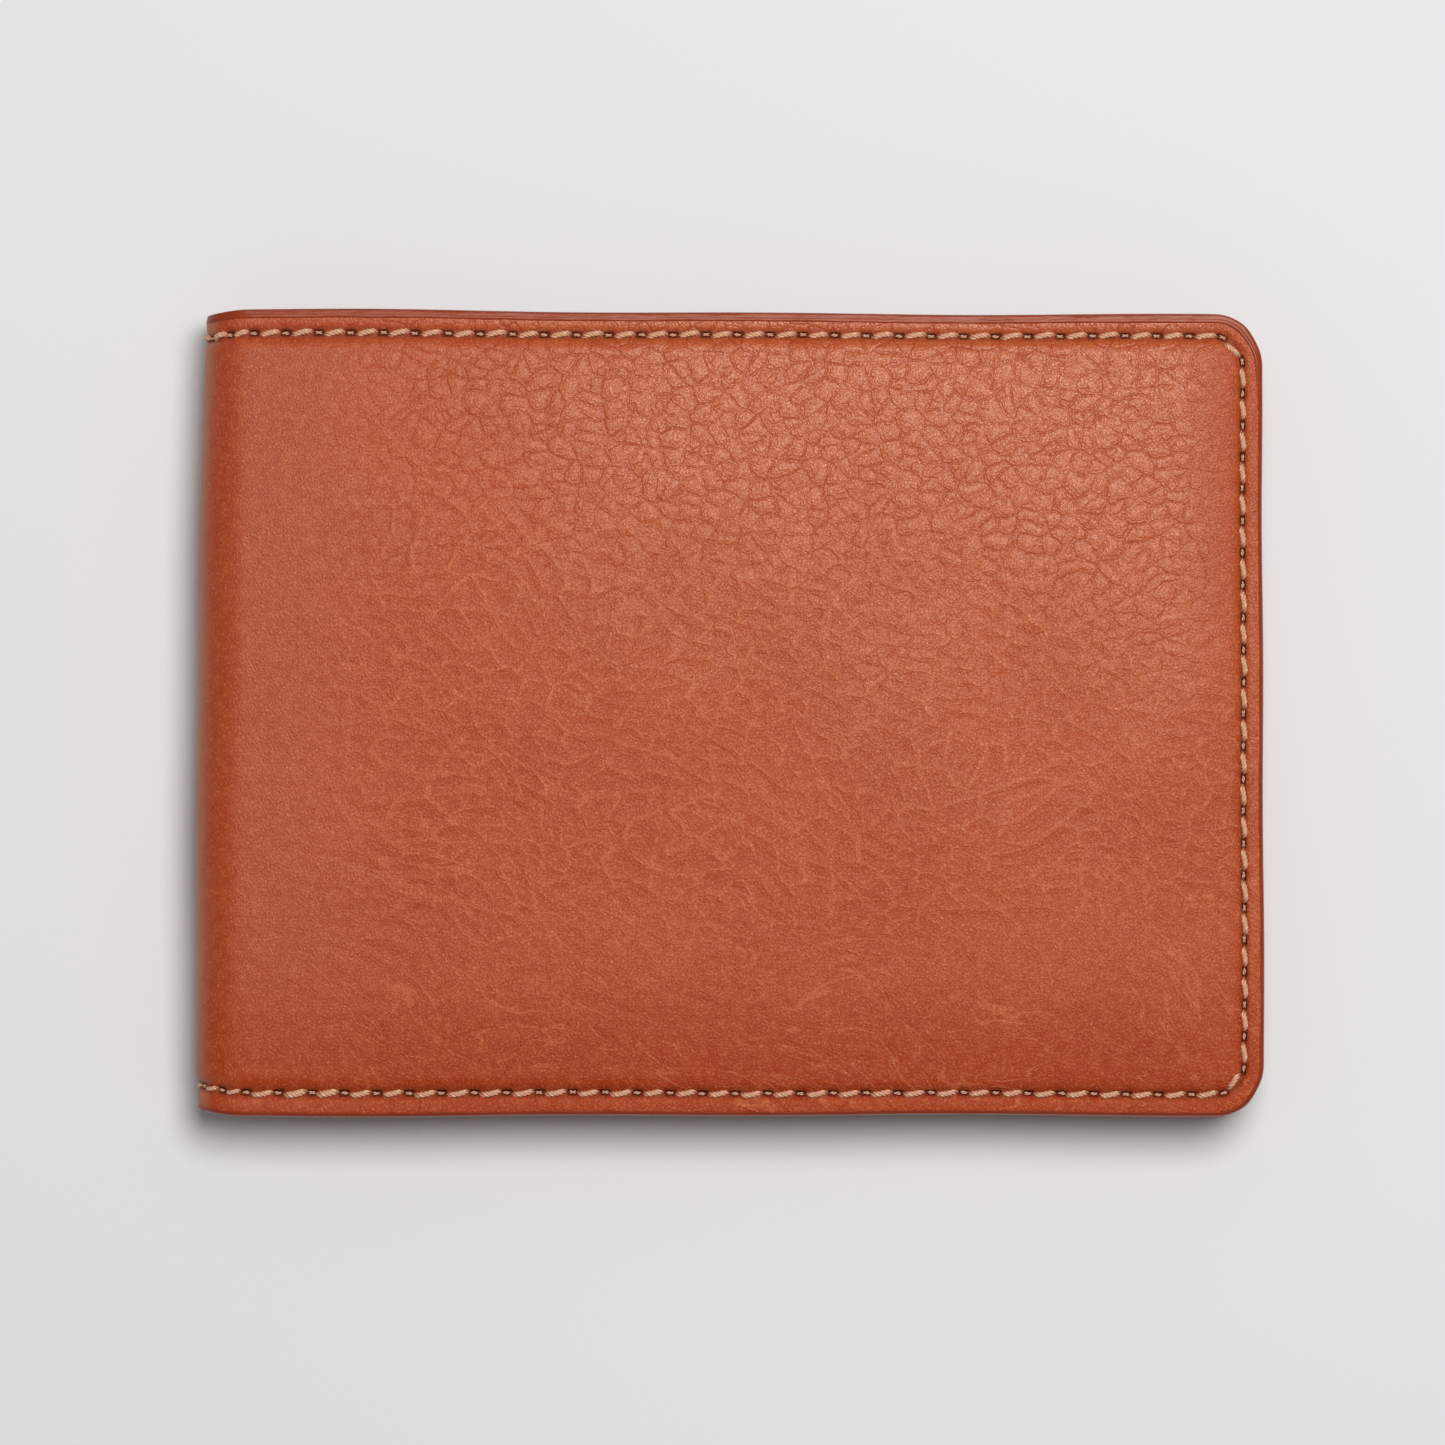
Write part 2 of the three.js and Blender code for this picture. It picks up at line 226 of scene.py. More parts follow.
# ---- The seam's path ----

SEAM_RADIUS = CORNER_RADIUS - SEAM_INSET
CORNER_S, CORNER_Y = S_FREE - CORNER_RADIUS, TOP - CORNER_RADIUS
QUARTER = SEAM_RADIUS * math.pi / 2
SEAM_STOPS = np.cumsum([CORNER_S, QUARTER, 2 * CORNER_Y, QUARTER, CORNER_S])
TOP_END, SIDE_START, SIDE_END, LOW_START, SEAM_LENGTH = SEAM_STOPS  # lengths along the seam
STITCHES = round(SEAM_LENGTH / PITCH)


def seam_point(along, shift=0.0):
    """Sheet point at a length along the seam from the fold's middle at the top, moved out by shift."""
    along, shift = np.broadcast_arrays(np.asarray(along, float), shift)
    turn = np.clip((along - TOP_END) / QUARTER, 0, 1) + np.clip((along - SIDE_END) / QUARTER, 0, 1)
    heading = math.pi / 2 * (1 - turn)  # the outward direction's angle
    s = np.minimum(along, CORNER_S) - np.maximum(along - LOW_START, 0)
    y = CORNER_Y - np.clip(along - SIDE_START, 0, 2 * CORNER_Y)
    reach = SEAM_RADIUS + shift
    return s + reach * np.cos(heading), y + reach * np.sin(heading) - np.sign(y) * fold_dip(s)


def seam_coordinates(s, y):
    """(length along the seam in pitches, distance outwards from it) of points near the seam."""
    angle = np.arctan2(np.abs(y) - CORNER_Y, s - CORNER_S)
    run = np.where(s < CORNER_S, s, TOP_END + SEAM_RADIUS * (math.pi / 2 - angle))
    on_side = (s >= CORNER_S) & (np.abs(y) < CORNER_Y)
    run = np.where(on_side, SIDE_START + CORNER_Y - np.abs(y), run)
    along = np.where(y > 0, run, SEAM_LENGTH - run)
    return along * STITCHES / SEAM_LENGTH, SEAM_INSET - inset(s, y)


# ---- Meshes ----


def add_to_scene(name, data):
    obj = bpy.data.objects.new(name, data)
    bpy.context.scene.collection.objects.link(obj)
    return obj


def vectors(x, y=0.0, z=0.0):
    """Arrays or numbers as one array of vectors."""
    return np.stack(np.broadcast_arrays(x, y, z), -1)


def make_object(name, vertices, faces, material, attributes=()):
    """A smooth-shaded object from millimetre vertices.

    attributes is pairs of a name and a vector for each vertex."""
    mesh = bpy.data.meshes.new(name)
    mesh.from_pydata((np.reshape(vertices, (-1, 3)) * MM).tolist(), [], faces)
    mesh.materials.append(material)
    mesh.shade_smooth()
    for key, values in attributes:
        layer = mesh.attributes.new(key, "FLOAT_VECTOR", "POINT")
        layer.data.foreach_set("vector", np.asarray(values, np.float32).ravel())
    return add_to_scene(name, mesh)


def sharpen(obj, on_cut):
    """Keeps edges between marked vertices sharp, so that a piece and its mate shade as one surface."""
    mesh = obj.data
    ends = np.zeros(2 * len(mesh.edges), int)
    mesh.edges.foreach_get("vertices", ends)
    sharp = mesh.attributes.new("sharp_edge", "BOOLEAN", "EDGE")
    sharp.data.foreach_set("value", on_cut[ends.reshape(-1, 2)].all(1))


def grid_lines(start, stop, step, fine=(), fine_step=None):
    """Places from start to stop, a step apart, and fine_step apart inside the fine stretches."""
    ends = (min(max(v, start), stop) for stretch in fine for v in stretch)
    stops = sorted({start, stop, *ends})
    lines = []
    for a, b in zip(stops, stops[1:]):
        close = any(lo <= a and b <= hi for lo, hi in fine)
        count = max(1, round((b - a) / (fine_step if close else step)))
        lines.append(np.linspace(a, b, count + 1)[:-1])
    return np.append(np.concatenate(lines), stops[-1])


def large_faces(columns, rows, step):
    """Faces that span step grid cells each way, and still use every grid point along the grid's rim."""
    starts = [sorted({*range(0, count, step), count - 1}) for count in (columns, rows)]
    faces = []
    for i0, i1 in zip(starts[0], starts[0][1:]):
        for j0, j1 in zip(starts[1], starts[1][1:]):
            low = range(i0, i1) if j0 == 0 else [i0]
            side = range(j0, j1) if i1 == columns - 1 else [j0]
            high = range(i1, i0, -1) if j1 == rows - 1 else [i1]
            back = range(j1, j0, -1) if i0 == 0 else [j1]
            points = [(i, j0) for i in low] + [(i1, j) for j in side]
            points += [(i, j1) for i in high] + [(i0, j) for j in back]
            faces.append([i * rows + j for i, j in points])
    return faces


def slab(name, half, s, y, near, far, material, keep=None, extra=(), under_step=1):
    """A closed sheet between two depths over a grid of sheet points s and y, both (columns, rows).

    keep marks the grid's cells that the sheet covers. extra is more vertex attributes, as
    (columns, rows, 3). under_step makes the far side of faces that many cells long."""
    columns, rows = s.shape
    keep = np.ones((columns - 1, rows - 1), bool) if keep is None else keep
    number = np.arange(columns * rows).reshape(columns, rows)
    corners = np.stack([number[:-1, :-1], number[1:, :-1], number[1:, 1:], number[:-1, 1:]], -1)
    outer, count = corners[keep], columns * rows
    padded = np.pad(keep, 1)
    walls = []
    for side, (di, dj) in enumerate([(0, -1), (1, 0), (0, 1), (-1, 0)]):
        beside = padded[1 + di : columns + di, 1 + dj : rows + dj]
        edge = corners[keep & ~beside][:, [side, (side + 1) % 4]]
        walls.append(np.stack([edge[:, 1], edge[:, 0], edge[:, 0] + count, edge[:, 1] + count], -1))
    far_faces = outer.tolist() if under_step == 1 else large_faces(columns, rows, under_step)
    faces = np.concatenate([outer, *walls]).tolist()
    faces += [[v + count for v in face[::-1]] for face in far_faces]
    if half == "back":
        faces = [face[::-1] for face in faces]
    vertices = np.concatenate([place(half, s, y, depth).reshape(-1, 3) for depth in (near, far)])
    attributes = [("sheet", vectors(s if half == "front" else -s, y)), *extra]
    used = np.unique(np.concatenate(faces))
    renumbered = np.zeros(len(vertices), int)
    renumbered[used] = np.arange(len(used))
    renumbered = renumbered.tolist()
    faces = [[renumbered[v] for v in face] for face in faces]
    doubled = [(key, np.concatenate([v.reshape(-1, 3)] * 2)[used]) for key, v in attributes]
    piece = make_object(name, vertices[used], faces, material, doubled)
    sharpen(piece, doubled[0][1][:, 0] == 0)
    return piece


def full_grid(step, trim, fine_step=None, top=None):
    """Sheet points over a whole half, from the fold's middle to its cut edge, with columns along y.

    The cells are finer round the corners and in a margin along the top and the bottom."""
    fine_step = fine_step or step
    quarter = math.pi / 2
    turn = np.linspace(0, quarter, max(6, round(CORNER_RADIUS * quarter / fine_step)))
    radius = CORNER_RADIUS - trim
    s = np.append(grid_lines(0, CORNER_S, step), CORNER_S + radius * np.sin(turn[1:]))
    margin = 4 / TOP
    share = grid_lines(-1, 1, step / TOP, [(-1, margin - 1), (1 - margin, 1)], fine_step / TOP)
    high = half_height(s, trim)
    low = -high
    if top is not None:
        high = np.minimum(high, top)
    y = (low + high)[:, None] / 2 + (high - low)[:, None] / 2 * share
    return np.broadcast_to(s[:, None], y.shape).copy(), y


# ---- Node trees ----


class Nodes:
    """Short spelling for the nodes of one tree. A value is a socket, a number or a tuple."""

    def __init__(self, tree):
        self.tree = tree

    def put(self, socket, value):
        if isinstance(value, bpy.types.NodeSocket):
            self.tree.links.new(value, socket)
        else:
            socket.default_value = value

    def add(self, kind, inputs, output=0, **settings):
        node = self.tree.nodes.new(kind)
        for key, value in settings.items():
            setattr(node, key, value)
        for key, value in inputs.items():
            self.put(node.inputs[key], value)
        return node.outputs[output]

    def math(self, operation, *values):
        return self.add("ShaderNodeMath", dict(enumerate(values)), operation=operation)

    def times(self, a, b):
        return self.math("MULTIPLY", a, b)

    def plus(self, a, b):
        return self.math("ADD", a, b)

    def scaled(self, value, factor, offset):
        return self.math("MULTIPLY_ADD", value, factor, offset)

    def invert(self, share):
        return self.math("SUBTRACT", 1.0, share)

    def vector(self, operation, a, b):
        return self.add("ShaderNodeVectorMath", {0: a, 1: b}, operation=operation)

    def blend(self, share, a, b):
        """A colour from a to b, each a socket or its red, green and blue."""
        node = self.tree.nodes.new("ShaderNodeMix")
        node.data_type = "RGBA"
        colours = [(*value, 1) if isinstance(value, tuple) else value for value in (a, b)]
        for key, value in zip((0, 6, 7), (share, *colours)):
            self.put(node.inputs[key], value)
        return node.outputs[2]

    def tint(self, tone, share, amount, colour):
        """tone with that amount of a colour where share is 1."""
        return self.blend(self.times(share, amount), tone, colour)

    def smooth(self, value, low, high):
        """0 below low, 1 above high, smooth between."""
        inputs = {"Value": value, "From Min": low, "From Max": high}
        return self.add("ShaderNodeMapRange", inputs, interpolation_type="SMOOTHSTEP")

    def fade(self, value, low, high):
        """1 below low, 0 above high, smooth between."""
        return self.invert(self.smooth(value, low, high))

    def split(self, vector):
        """The x, y and z of a vector."""
        return self.add("ShaderNodeSeparateXYZ", {0: vector}).node.outputs

    def noise(self, place, size, detail=2.0, output="Fac"):
        inputs = {"Vector": place, "Scale": 1 / size, "Detail": detail, "Roughness": 0.5}
        return self.add("ShaderNodeTexNoise", inputs, output, noise_dimensions="2D")

    def edges(self, place, size):
        """Distance to the nearest edge of random cells of that size, in the units of place."""
        inputs = {"Vector": place, "Scale": 1 / size, "Randomness": 1.0}
        kind = {"feature": "DISTANCE_TO_EDGE", "voronoi_dimensions": "2D"}
        node = self.add("ShaderNodeTexVoronoi", inputs, "Distance", **kind)
        return self.times(node, size)

    def warp(self, place, size, amount):
        """place moved about, by at most amount each way."""
        wander = self.vector("SUBTRACT", self.noise(place, size, 1.0, "Color"), (0.5, 0.5, 0.5))
        moved = self.vector("MULTIPLY", wander, (2 * amount, 2 * amount, 0))
        return self.vector("ADD", place, moved)

    def stretch(self, place, angle, length):
        """place for a pattern drawn out to length times, in a direction at that many degrees from x."""
        inputs = {"Vector": place, "Angle": math.radians(-angle)}
        turned = self.add("ShaderNodeVectorRotate", inputs, rotation_type="Z_AXIS")
        return self.vector("MULTIPLY", turned, (1 / length, 1, 1))


def new_material(name, **settings):
    """A material, its node helper and its Principled shader, with the shader's plain values set."""
    material = bpy.data.materials.new(name)
    material.use_nodes = True
    shader = material.node_tree.nodes["Principled BSDF"]
    for key, value in settings.items():
        shader.inputs[key.replace("_", " ")].default_value = value
    return material, Nodes(material.node_tree), shader


def bump(n, shader, height):
    """Bumps of a height in millimetres."""
    normal = n.add("ShaderNodeBump", {"Strength": 1.0, "Distance": MM, "Height": height}, "Normal")
    n.put(shader.inputs["Normal"], normal)


def sheet_place(n, key="sheet"):
    """A place that is stored on the mesh, in millimetres."""
    return n.add("ShaderNodeAttribute", {}, "Vector", attribute_name=key)


# ---- Leather ----


class Grain:
    """The cover's grain at a sheet place, in heights and widths of millimetres.

    Pebbles lie over the top, between the fold and the free side. Drawn creases and soft dents lie over
    the rest, and a fine skin over it all. dome is the soft height that the mesh carries, skin the fine
    height of the material, and from_fold the distance from the fold's middle. The others are shares: the
    top right's painted highlight, which the cover also makes glossier there, low the painted shade
    towards the bottom, pebbled where pebbles lie, crown their tops, which the cover paints paler as a
    painted highlight, line the dark lines between them, painted shade in the creases, streak the pale
    creases, painted highlights on their lit side, and cell the tops of the skin's fine cells."""

    def __init__(self, n, place):
        parts = n.split(place)
        drift = n.scaled(n.noise(place, 22), 26, -13)
        rise = n.plus(n.scaled(parts[0], 0.22, parts[1]), drift)  # up the wallet, on a slant
        self.from_fold = n.math("ABSOLUTE", parts[0])
        off_fold = n.smooth(self.from_fold, 10, 30)
        by_side = n.smooth(self.from_fold, S_FREE - 10, S_FREE - 3)
        inside = n.invert(n.times(by_side, 0.7))
        # Painted highlight: the top right is painted paler, where the key light's reflection falls, and is
        # made glossier there.
        self.top_right_highlight = n.times(n.smooth(rise, -10, 58), n.smooth(self.from_fold, 8, 60))
        self.top_right_highlight = n.times(self.top_right_highlight, inside)
        # Painted shade: the leather is painted darker towards the bottom, where the light from above falls
        # off.
        self.low = n.fade(parts[1], -38, -24)
        self.pebbled = n.times(n.smooth(rise, 4, 40), n.times(off_fold, inside))
        plain = n.invert(self.pebbled)
        drawn = n.times(n.scaled(off_fold, 0.8, 0.2), plain)
        faded = n.smooth(n.noise(place, 9, 3.0), 0.3, 0.55)

        loose = n.warp(n.warp(place, 5, 0.9), 1.1, 0.2)
        plate = n.edges(n.stretch(loose, -6, 1.2), 1.8)
        small_plate = n.edges(n.stretch(loose, 20, 1.2), 0.95)
        pulled = n.warp(place, 20, 5.0)
        lens = self.ridges(n, n.stretch(pulled, -25, 3.6), 3.0)
        small_lens = self.ridges(n, n.stretch(pulled, -17, 2.8), 1.3)

        # The pebbles' tops, which the cover paints paler as a painted highlight.
        self.crown = n.times(n.smooth(plate, 0, 0.65), self.pebbled)
        dome = n.times(self.crown, 0.13)
        swell = n.times(n.smooth(lens, 0, 0.14), n.times(drawn, 0.07))
        middle = n.times(n.smooth(parts[1], -34, -14), off_fold)
        middle = n.times(middle, n.fade(rise, 22, 40))
        dent = n.edges(n.stretch(n.warp(pulled, 1.6, 0.4), -24, 1.9), 1.9)
        dented = n.times(n.smooth(dent, 0, 0.7), n.times(middle, -0.12))
        self.dome = n.plus(n.plus(dome, swell), dented)

        # The dark lines between pebbles, which the cover paints in as painted shade in the creases.
        line = n.fade(plate, 0.0, 0.22)
        small_line = n.times(n.fade(small_plate, 0.0, 0.11), 0.7)
        strong = n.scaled(n.smooth(n.noise(place, 2.6), 0.3, 0.6), 0.65, 0.35)
        patchy = n.smooth(n.noise(place, 1.9), 0.4, 0.65)
        line = n.math("MAXIMUM", n.times(line, strong), n.times(small_line, patchy))
        self.line = n.times(line, self.pebbled)
        # Pale creases, which the cover paints in as painted highlights on their lit side.
        streak = n.fade(lens, 0.0, 0.028)
        small_streak = n.fade(small_lens, 0.0, 0.03)
        streak = n.math("MAXIMUM", streak, n.times(small_streak, 0.6))
        streak = n.times(streak, n.smooth(n.noise(place, 0.9), 0.2, 0.5))
        wrinkle = n.fade(dent, 0.0, 0.24)
        broken = n.smooth(n.noise(place, 1.6), 0.32, 0.6)
        wrinkle = n.times(wrinkle, n.times(middle, broken))
        streak = n.times(streak, n.times(drawn, faded))
        self.streak = n.math("MAXIMUM", streak, wrinkle)

        self.cell = n.smooth(n.edges(n.warp(place, 0.7, 0.25), 0.38), 0, 0.1)
        pore = n.noise(n.stretch(place, -60, 1.5), 0.22, 2.0)
        skin = n.plus(n.times(self.cell, 0.009), n.times(pore, 0.036))
        coarse = n.scaled(self.pebbled, -1.1, n.scaled(off_fold, 1.3, 1.4))
        self.skin = n.times(skin, coarse)

    @staticmethod
    def ridges(n, place, size):
        """0 on long level lines of a noise of that size, more between them."""
        return n.math("ABSOLUTE", n.math("SUBTRACT", n.noise(place, size, 2.0), 0.5))


def grain_relief(s, y):
    """The grain's coarse height at sheet points, worked out by the same nodes as the material's."""
    tree = bpy.data.node_groups.new("grain_relief", "GeometryNodeTree")
    for way in ("INPUT", "OUTPUT"):
        tree.interface.new_socket("Geometry", in_out=way, socket_type="NodeSocketGeometry")
    n = Nodes(tree)
    position = n.add("GeometryNodeInputPosition", {})
    dome = Grain(n, position).dome
    store = tree.nodes.new("GeometryNodeStoreNamedAttribute")
    store.data_type = "FLOAT"
    store.inputs["Name"].default_value = "relief"
    n.put(store.inputs["Value"], dome)
    n.put(store.inputs["Geometry"], tree.nodes.new("NodeGroupInput").outputs[0])
    n.put(tree.nodes.new("NodeGroupOutput").inputs[0], store.outputs["Geometry"])
    mesh = bpy.data.meshes.new("grain_points")
    points = vectors(s, y).reshape(-1, 3)
    mesh.from_pydata(points.tolist(), [], [])
    obj = add_to_scene("grain_points", mesh)
    obj.modifiers.new("grain", "NODES").node_group = tree
    made = obj.evaluated_get(bpy.context.evaluated_depsgraph_get()).data
    relief = np.zeros(len(points), np.float32)
    made.attributes["relief"].data.foreach_get("value", relief)
    bpy.data.objects.remove(obj)
    bpy.data.meshes.remove(mesh)
    bpy.data.node_groups.remove(tree)
    return relief.reshape(s.shape)


def cover_leather():
    material, n, shader = new_material("cover_leather", Specular_Tint=(1.0, 0.87, 0.72, 1))
    place = sheet_place(n)
    grain = Grain(n, place)

    mottle = n.smooth(n.noise(place, 16, 3.0), 0.3, 0.7)
    tone = n.blend(mottle, (0.43, 0.056, 0.0105), (0.48, 0.070, 0.015))
    # Painted highlight: paler towards the top right.
    tone = n.tint(tone, grain.top_right_highlight, 0.6, (0.53, 0.105, 0.025))
    # Painted shade: darker towards the bottom.
    tone = n.tint(tone, grain.low, 0.85, (0.38, 0.038, 0.007))
    # Painted shade: darker on the panel beside the fold.
    fold_shade = n.fade(grain.from_fold, 10, 28)
    tone = n.tint(tone, fold_shade, 0.7, (0.38, 0.044, 0.008))
    cloud = n.smooth(n.noise(place, 1.3, 3.0), 0.35, 0.7)
    tone = n.tint(tone, cloud, 0.25, (0.60, 0.130, 0.040))
    # Painted highlight: paler pebble tops.
    tone = n.tint(tone, grain.crown, 0.15, (0.62, 0.150, 0.050))
    # Painted shade: dark lines in the creases between pebbles.
    tone = n.tint(tone, grain.line, 0.7, (0.40, 0.042, 0.009))
    # Painted highlight: pale lines on the creases.
    tone = n.tint(tone, grain.streak, 0.5, (0.68, 0.190, 0.075))
    tone = n.tint(tone, n.invert(grain.cell), 0.4, (0.34, 0.038, 0.009))
    glint = n.smooth(n.noise(place, 0.3, 2.0), 0.56, 0.72)
    tone = n.tint(tone, glint, 0.3, (0.70, 0.24, 0.11))

    # Painted reflection: a pale rim along the fold's curve, where the bright floor and surroundings reflect.
    fold_rim_sheen = n.fade(grain.from_fold, 2.8, 6.0)
    fold_rim_sheen = n.times(fold_rim_sheen, n.smooth(grain.from_fold, -1.0, 2.4))
    tone = n.tint(tone, fold_rim_sheen, 0.75, (0.52, 0.180, 0.085))

    seam = n.split(sheet_place(n, "seam"))
    hole, valley = seam_hole(n, seam)
    # Painted shade: the seam's valley and its holes are painted dark.
    tone = n.tint(tone, valley, 0.55, (0.20, 0.028, 0.008))
    tone = n.blend(hole, tone, (0.13, 0.022, 0.009))
    n.put(shader.inputs["Base Color"], tone)

    creases = n.scaled(grain.line, -0.05, n.times(grain.streak, 0.045))
    bump(n, shader, n.plus(n.plus(creases, grain.skin), n.times(hole, -0.25)))
    rough = n.scaled(n.noise(place, 0.6, 2.0), 0.12, 0.41)
    rough = n.scaled(grain.top_right_highlight, -0.1, rough)
    n.put(shader.inputs["Roughness"], n.plus(rough, n.times(valley, 0.2)))
    gloss = n.scaled(grain.top_right_highlight, 0.25, 0.45)
    n.put(shader.inputs["Specular IOR Level"], n.scaled(grain.low, -0.2, gloss))
    return material


def seam_hole(n, seam):
    """(hole share, valley share) beside the seam, from its coordinates. The cover paints both dark, as
    painted shade in the seam's dips.
    """
    from_hole = n.math("PINGPONG", seam[0], 0.5)
    along = n.fade(n.times(from_hole, PITCH), 0.3, 0.75)
    off = n.math("ABSOLUTE", seam[1])
    hole = n.times(along, n.fade(off, 0.06, 0.3))
    valley = n.fade(off, 0.2, 0.55)
    return hole, valley


def inner_leather():
    """Finer leather for the note wall and the pockets, with a creased line and painted lip at a mouth."""
    material, n, shader = new_material("inner_leather", Specular_IOR_Level=0.45)
    place = sheet_place(n)
    cells = n.edges(n.warp(n.warp(place, 3, 0.6), 0.6, 0.15), 0.95)
    swept = n.edges(n.stretch(n.warp(place, 5, 1.2), 15, 2.4), 1.6)
    height = n.times(n.smooth(cells, 0, 0.22), 0.03)
    height = n.plus(height, n.times(n.smooth(swept, 0, 0.2), 0.02))
    height = n.plus(height, n.times(n.noise(place, 0.2, 3.0), 0.025))
    mottle = n.smooth(n.noise(place, 12, 3.0), 0.3, 0.7)
    tone = n.blend(mottle, (0.46, 0.085, 0.030), (0.53, 0.107, 0.040))
    tone = n.tint(tone, n.fade(cells, 0, 0.2), 0.35, (0.37, 0.055, 0.017))
    mouth = n.split(sheet_place(n, "mouth"))
    line = n.math("ABSOLUTE", n.math("SUBTRACT", mouth[0], MOUTH_LINE))
    groove = n.fade(line, 0.1, 0.32)
    tone = n.tint(tone, groove, 0.7, (0.20, 0.028, 0.009))
    painted = n.fade(mouth[0], 0.22, 0.34)
    tone = n.blend(painted, tone, (0.14, 0.018, 0.010))
    n.put(shader.inputs["Base Color"], tone)
    plain = n.invert(painted)
    height = n.times(height, plain)
    bump(n, shader, n.math("SUBTRACT", height, n.times(groove, 0.1)))
    n.put(shader.inputs["Roughness"], n.scaled(plain, 0.2, 0.28))
    return material


def edge_paint():
    looks = {"Roughness": 0.36, "Specular_IOR_Level": 0.35, "Specular_Tint": (1.0, 0.8, 0.65, 1)}
    material, n, shader = new_material("edge_paint", **looks)
    place = sheet_place(n)
    tone = n.blend(n.noise(place, 5, 3.0), (0.25, 0.026, 0.007), (0.33, 0.044, 0.012))
    n.put(shader.inputs["Base Color"], tone)
    height = n.times(n.noise(n.stretch(place, 0, 4), 0.9, 2.0), 0.06)
    bump(n, shader, n.plus(height, n.times(n.noise(place, 0.25, 2.0), 0.008)))
    return material


def sewing_thread():
    """Peach thread with fine fibres along each ply. The attribute ply is (along, round, stitch number)."""
    material, n, shader = new_material("sewing_thread", Roughness=0.4, Specular_IOR_Level=0.55)
    place = sheet_place(n, "ply")
    fibre = n.noise(n.stretch(place, 0, 6), 0.05, 3.0)
    tone = n.blend(n.smooth(fibre, 0.3, 0.7), (0.54, 0.23, 0.115), (0.88, 0.52, 0.34))
    stain = n.smooth(n.noise(place, 4.0, 2.0), 0.4, 0.75)
    tone = n.tint(tone, stain, 0.35, (0.50, 0.20, 0.09))
    # Painted shade: each stitch is painted darker towards both ends, where it dives into its holes.
    run = n.split(place)[0]
    from_end = n.math("ABSOLUTE", n.math("SUBTRACT", n.math("DIVIDE", run, PITCH), 0.5))
    tone = n.tint(tone, n.smooth(from_end, 0.26, 0.46), 0.75, (0.24, 0.075, 0.030))
    n.put(shader.inputs["Base Color"], tone)
    bump(n, shader, n.times(fibre, 0.03))
    return material


def lining_fabric():
    looks = {"Roughness": 0.8, "Specular_IOR_Level": 0.3, "Sheen_Weight": 0.3, "Sheen_Roughness": 0.5}
    material, n, shader = new_material("lining_fabric", **looks)
    yarn = 0.34
    uneven = n.split(n.warp(sheet_place(n), 4.0, 0.05))
    across = n.math("SINE", n.times(uneven[0], 2 * math.pi / yarn))
    up = n.math("SINE", n.times(uneven[1], 2 * math.pi / yarn))
    twill = n.plus(uneven[0], uneven[1])
    rib = n.math("SINE", n.times(twill, math.pi / yarn))
    weave = n.plus(n.times(across, up), rib)
    share = n.smooth(weave, -1.2, 1.6)
    tone = n.blend(share, (0.16, 0.060, 0.030), (0.33, 0.145, 0.075))
    n.put(shader.inputs["Base Color"], tone)
    bump(n, shader, n.times(share, 0.06))
    return material


def pad_foam():
    material, n, shader = new_material("pad_foam", Roughness=0.95, Specular_IOR_Level=0.2)
    wall = n.smooth(n.edges(sheet_place(n), 0.35), 0, 0.12)
    n.put(shader.inputs["Base Color"], n.blend(wall, (0.45, 0.42, 0.36), (0.68, 0.64, 0.57)))
    bump(n, shader, n.times(wall, 0.05))
    return material


MATERIALS = {
    "cover_leather": cover_leather(),
    "inner_leather": inner_leather(),
    "edge_paint": edge_paint(),
    "thread": sewing_thread(),
    "lining_fabric": lining_fabric(),
    "foam": pad_foam(),
}

# ---- The shell's sheets ----

BODIES = {"back": ("back_half", "fold"), "front": ("fold", "front_half")}
BLEND_LEAD = 2.5  # the bend's start that bend_with_fold works out lies this far out on the flat panel
SHELL_DEPTHS = (RAISE, POCKET_FACE)  # of the sewn edge, from its outer face to its inner one


def bend_with_fold(piece, half, depths):
    """Works out the two ends of a bend across its half's crease, on the flat panel and at the middle of the
    fold's back, and bakes the piece's place into its mesh; it does not bend the piece.

    depths are where the bending starts on the panel and ends on the back."""
    on_panel = place(half, S_PANEL + BLEND_LEAD, 0, depths[0]) * MM
    on_back = place(half, 0, 0, depths[1]) * MM
    ends = [on_panel.tolist(), on_back.tolist()]
    if half == "front":
        ends.reverse()
    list(BODIES[half])
    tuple(ends[0])
    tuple(ends[1])
    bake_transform(piece)


def finish_piece(piece, half, slot, *nodes, depths=None):
    """Without depths, the piece rides on its half and doesn't bend."""
    if depths:
        bend_with_fold(piece, half, depths)
    else:
        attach(piece, half + "_half")
    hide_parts(*nodes)
    return piece


def make_cover(half):
    """The cover leather, with its grain raised in the mesh."""
    s, y = full_grid(0.37, BEAD, 0.24)
    sign = 1 if half == "front" else -1
    t = inset(s, y)
    relief = (grain_relief(sign * s, y) - 0.05) * ease((t - SEAM_INSET - 0.3) / 1.5)
    swell = 0.06 * noise(sign * s / 17, y / 14, 3) * ease((t - 5) / 10)
    pucker = 0.04 * noise(sign * s / 1.7, y / 1.7, 5) * (1 - ease((t - SEAM_INSET) / 1.2))
    depth = cover_depth(s, y) - relief + np.abs(swell) + pucker
    along, across = seam_coordinates(s, y)
    spot = np.abs(along - np.round(along)) * PITCH
    depth = depth + HOLE_DEPTH * np.exp(-((spot / 0.55) ** 4) - (across / 0.28) ** 2)
    under = np.minimum(cover_depth(s, y) + LEATHER - 0.06, LINING_FACE - 0.02)
    under = np.maximum(under, depth + 0.3)
    piece = slab(f"cover_leather_{half}", half, s, y, np.maximum(depth, 0.01), under,
                 MATERIALS["cover_leather"], extra=[("seam", vectors(along, across))], under_step=6)
    nodes = (f"{half}_cover_leather", "fold_cover_leather")
    return finish_piece(piece, half, "cover_leather", *nodes, depths=SHELL_DEPTHS)


